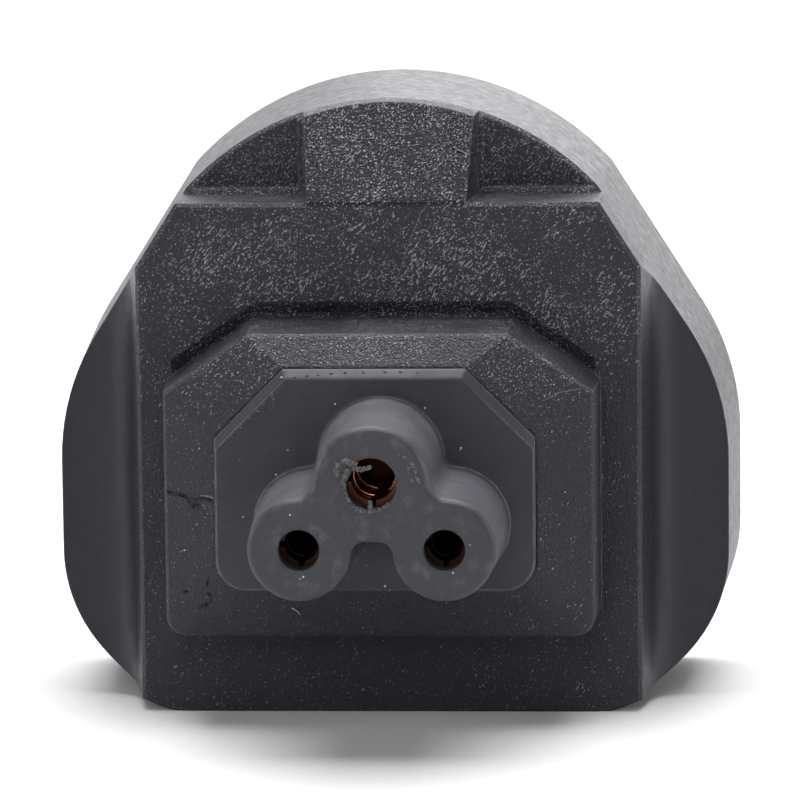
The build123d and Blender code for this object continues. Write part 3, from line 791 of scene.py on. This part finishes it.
# %% Torn rim of the earth hole
RIM_SHIFT = Vector((-0.24, 0, 0.05)) * MM
RIM_VOXEL = 0.035
torn_ridge = ((-2.05, 8.45, 0.24), (-2.05, 8.75, 0.26), (-1.95, 9.05, 0.25), (-1.66, 9.25, 0.24),
              (-1.35, 9.38, 0.26), (-1.10, 9.20, 0.25), (-0.90, 9.00, 0.26), (-0.70, 8.85, 0.22),
              (-0.45, 8.80, 0.18), (-0.20, 8.80, 0.15), (0.02, 8.86, 0.12), (0.18, 8.90, 0.09))
torn_edge = ((-1.35, 8.60, 0.24), (-1.50, 8.35, 0.24), (-1.62, 8.05, 0.22), (-1.62, 7.75, 0.20),
             (-1.58, 7.45, 0.16), (-1.52, 7.15, 0.12), (-1.40, 6.85, 0.10), (-1.25, 6.60, 0.09))
low_rim = ((-0.95, 6.22, 0.09), (-0.70, 6.05, 0.11), (-0.45, 5.95, 0.12), (-0.20, 5.90, 0.10),
           (0.18, 5.95, 0.13), (0.20, 6.15, 0.12), (0.20, 6.35, 0.10), (0.20, 6.52, 0.07),
           (0.20, 5.75, 0.11), (0.55, 5.90, 0.10), (0.85, 5.98, 0.11), (1.20, 6.15, 0.12),
           (1.45, 6.35, 0.08))
scuff = ((2.75, 9.30, 0.10), (2.90, 9.05, 0.13), (3.05, 8.85, 0.11), (3.10, 8.55, 0.14),
         (3.20, 8.25, 0.12), (2.70, 8.50, 0.09), (2.60, 8.85, 0.08), (2.85, 8.05, 0.09),
         (3.30, 7.95, 0.08), (2.30, 9.70, 0.10), (2.05, 9.85, 0.11))
spots = [(on_nose(x, z) + RIM_SHIFT, size, (1.0, 0.65, 1.0)) for x, z, size in torn_ridge + torn_edge]
spots += [(on_nose(x, z) + RIM_SHIFT, size, (1.0, 0.8, 1.0)) for x, z, size in low_rim]
spots += [(on_nose(x, z), size, (1.0, 0.30, 1.3)) for x, z, size in scuff]
fix(lumps(spots, 0.13, 3, RIM_VOXEL), "torn_rim", torn)

# %% [markdown]
# ## Flash on the block
#
# Where the two halves of a mould meet, plastic creeps into the gap and leaves thin flash. A pale
# piece of it stands at the block's upper left corner, and a small curl hangs below. The rest is a
# ragged line of crumbs along the upper edge.

# %% Pale flash at the corner
BLOCK_FACE_Y = -28.75
FLASH_LUMPS = 6
CORNER_X = -6.95
CORNER_Z = 13.62

corner_spots = [(Vector((CORNER_X + 0.11 * step, BLOCK_FACE_Y, CORNER_Z - 0.02 * step)) * MM, 0.10,
                 (1.3, 1.0, 0.8)) for step in range(FLASH_LUMPS)]
fix(lumps(corner_spots, 0.04, 5), "corner_flash", flash)

# %% Curl and ragged edge
curl = ((-7.65, 12.35, 0.13), (-7.55, 12.1, 0.11), (-7.50, 11.85, 0.09), (-7.55, 11.6, 0.08),
        (-7.65, 11.4, 0.08), (-7.78, 11.28, 0.07))
ragged = ((-6.0, 13.75, 0.07), (-5.2, 13.85, 0.09), (-4.4, 13.9, 0.06), (-3.5, 13.98, 0.08),
          (-2.5, 14.05, 0.08), (-1.2, 14.05, 0.06), (0.3, 14.08, 0.08), (1.4, 14.08, 0.09),
          (2.6, 14.05, 0.06), (-8.3, 11.9, 0.08), (-8.7, 11.35, 0.09), (-9.25, 10.85, 0.08),
          (-9.9, 10.2, 0.07), (-10.6, 9.6, 0.07))
spots = [(Vector((x, BLOCK_FACE_Y - 0.2, z)) * MM, size, (1.0, 1.0, 1.3)) for x, z, size in curl]
spots += [(on_front("outlet_insert", x, z - 0.12), size, (1.6, 0.6, 0.9)) for x, z, size in ragged]
fix(lumps(spots, 0.03, 6), "edge_flash", torn)

# %% [markdown]
# ## Dust
#
# Single crumbs of dust lie on the block and the collar. A ray is cast at the real surface for each
# one, so that it sits on the plastic wherever that is.

# %% Dust on the front
insert_dust = ((-4.71, 1.37), (-4.92, 1.23), (4.36, 2.0), (4.77, 1.86), (5.59, 1.65), (-5.55, 5.68),
               (-7.45, 6.72), (6.77, 3.59), (-3.21, 11.76), (3.13, 11.46), (5.57, 8.47), (5.64, 8.61),
               (-6.58, 8.49), (-5.75, 6.7), (-9.84, 3.7), (0.17, -1.26), (0.52, -1.54))
collar_dust = ((-14.22, 1.01), (15.0, 11.2), (15.0, 9.67), (15.0, 1.51), (12.9, 5.2), (-13.0, 8.4))
spots = [(on_front("outlet_insert", x, z), 0.055 + 0.015 * math.sin(9 * x), (1.0, 0.5, 1.2))
         for x, z in insert_dust]
spots += [(on_front("overmould", x, z), 0.06, (1.0, 0.5, 1.0)) for x, z in collar_dust]
fix(lumps(spots, 0.02, 8), "dust", lint)

# %% [markdown]
# ## A fibre
#
# A short fibre lies on the box below the nose. A curve with a bevel would do, but a small disc that
# is extruded step by step gives the same thread and is a closed mesh at once.

# %% A short fibre below the nose
FIBRE_RADIUS = 0.045
FIBRE_STEPS = ((0.09, 0, -0.04), (0.10, 0, -0.06), (0.11, 0.01, -0.07), (0.10, 0.01, -0.09),
               (0.10, 0, -0.10), (0.09, 0, -0.11))

fibre_start = on_front("overmould", -6.6, -3.1) + Vector((0, -0.03, 0)) * MM
deselect_all()
bpy.ops.mesh.primitive_circle_add(vertices=8, radius=FIBRE_RADIUS * MM, fill_type="NGON",
                                  location=fibre_start, rotation=(0, math.pi / 2, 0))
fibre = bpy.context.object
bpy.ops.object.transform_apply(location=True, rotation=True, scale=True)
bpy.ops.object.mode_set(mode="EDIT")
bpy.ops.mesh.select_all(action="SELECT")
for step in FIBRE_STEPS:
    bpy.ops.mesh.extrude_region_move(TRANSFORM_OT_translate={"value": Vector(step) * MM})
bpy.ops.mesh.select_all(action="SELECT")
bpy.ops.mesh.normals_make_consistent(inside=False)
bpy.ops.object.mode_set(mode="OBJECT")
bpy.ops.object.shade_smooth()
fix(fibre, "fibre", lint)

# %% [markdown]
# ## Last lines
#

# %% Last line
print("end of the script")
